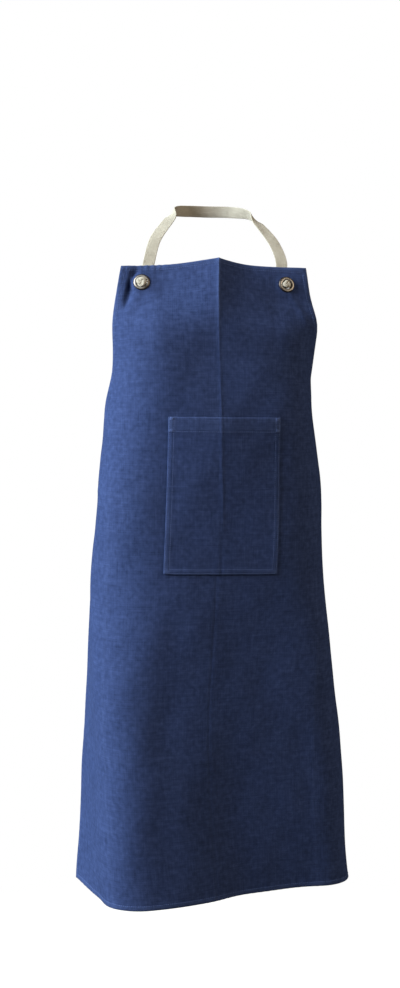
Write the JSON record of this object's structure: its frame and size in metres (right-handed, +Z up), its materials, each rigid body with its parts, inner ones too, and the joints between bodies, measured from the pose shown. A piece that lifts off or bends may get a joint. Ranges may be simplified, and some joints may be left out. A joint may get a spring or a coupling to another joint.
{
  "type": "bib apron",
  "caption": "Long bib apron in navy canvas, hanging as worn, with a pressed centre crease, a patch pocket, brass eyelets, a knotted cream neck strap and a waist tie.",
  "frame": {"origin": "inner face of the neck strap where it sits on the nape", "axes": "+Z up, -Y the way the apron's front faces, +X the right-hand side as seen from the front"},
  "size_m": [0.4392, 0.282, 1.0864],
  "materials": {
    "canvas": "matte woven cotton canvas, navy",
    "tape": "matte woven cotton tape, cream",
    "brass": "antique brass, satin"
  },
  "bodies": {
    "root": {"apron_body": "canvas", "patch_pocket": "canvas", "neck_strap": "tape", "waist_tie": "tape", "eyelet_left": "brass", "eyelet_right": "brass", "washer_left": "brass", "washer_right": "brass"}
  },
  "joints": []
}
